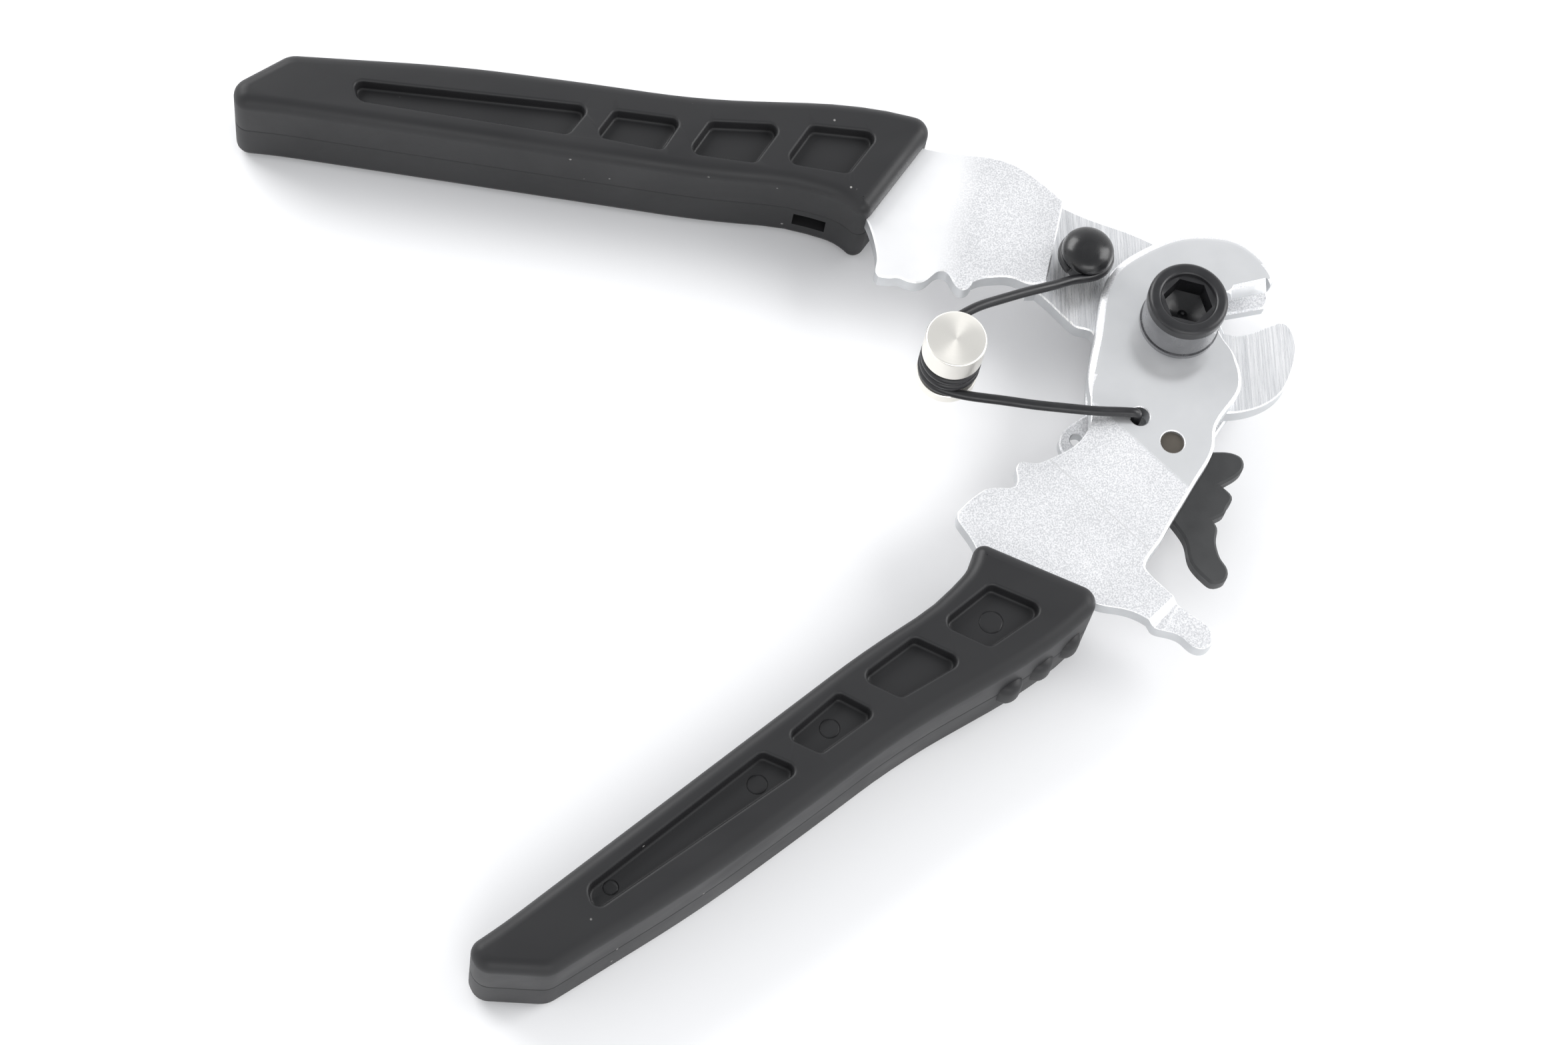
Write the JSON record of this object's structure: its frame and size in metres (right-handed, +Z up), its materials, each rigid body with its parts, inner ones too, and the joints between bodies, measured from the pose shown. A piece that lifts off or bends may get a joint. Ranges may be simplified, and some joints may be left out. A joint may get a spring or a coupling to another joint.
{
  "type": "hand cutter",
  "caption": "Hand-operated bypass cable cutter with moulded black handle grips, crimping notches, a wire return spring on a turned spool, and a small lock lever.",
  "frame": {"origin": "on the pivot axis, in the plane that the tool lies on (the underside of the pivot screw and nut)", "axes": "+X from the pivot towards the open jaws along the middle between the two arms, +Y towards the upper arm's handle, +Z up along the pivot screw"},
  "size_m": [0.157, 0.161, 0.0272],
  "materials": {
    "plate_steel": "bright zinc plate, blasted on the arms, brushed on the blade",
    "grip_plastic": "matte black moulded plastic",
    "black_steel": "black oxide, satin",
    "spring_steel": "black oiled spring wire",
    "dark_steel": "dark phosphated, satin",
    "turned_steel": "turned, fine rings on the end face",
    "plain_steel": "plain ground steel"
  },
  "bodies": {
    "lower_arm": {"lower_arm_plate": "plate_steel", "back_plate": "plate_steel", "lower_grip": "grip_plastic", "pivot_screw": "black_steel", "pivot_washer": "black_steel", "pivot_sleeve": "plain_steel", "pivot_nut": "black_steel", "lever_pin": "plain_steel", "lever_washer": "plain_steel"},
    "upper_arm": {"upper_arm_plate": "plate_steel", "upper_grip": "grip_plastic", "spring_post": "black_steel"},
    "lock_lever": {"lock_lever": "dark_steel"},
    "spring_lower": {"spring_lower_leg": "spring_steel"},
    "spring_upper": {"spring_upper_leg": "spring_steel"},
    "spool": {"spool_cap": "turned_steel", "spool_base": "turned_steel"}
  },
  "joints": [
    {"name": "arm_pivot", "type": "hinge", "parent": "lower_arm", "child": "upper_arm", "pos_m": [0, 0, 0.0108], "axis": [0, 0, 1], "range_deg": [0, 49], "stiffness_Nm_per_rad": 0.3},
    {"name": "lever_pivot", "type": "hinge", "parent": "lower_arm", "child": "lock_lever", "pos_m": [-0.00801, -0.01999, 0.0093], "axis": [0, 0, 1], "range_deg": [-15, 0]},
    {"name": "spring_foot_pivot", "type": "hinge", "parent": "lower_arm", "child": "spring_lower", "pos_m": [-0.0117, -0.01437, 0.013], "axis": [0, 0, 1], "range_deg": [0, 37]},
    {"name": "coil_wind", "type": "hinge", "parent": "spring_lower", "child": "spring_upper", "pos_m": [-0.0401, 0, 0.0195], "axis": [0, 0, 1], "range_deg": [-23, 0]},
    {"name": "spool_spin", "type": "hinge", "parent": "spring_lower", "child": "spool", "pos_m": [-0.0401, 0, 0.0195], "axis": [0, 0, 1], "continuous": true}
  ],
  "couplings": [
    {"joint": "spring_foot_pivot", "follows": "arm_pivot", "ratio": 0.7468},
    {"joint": "coil_wind", "follows": "arm_pivot", "ratio": -0.4623}
  ]
}
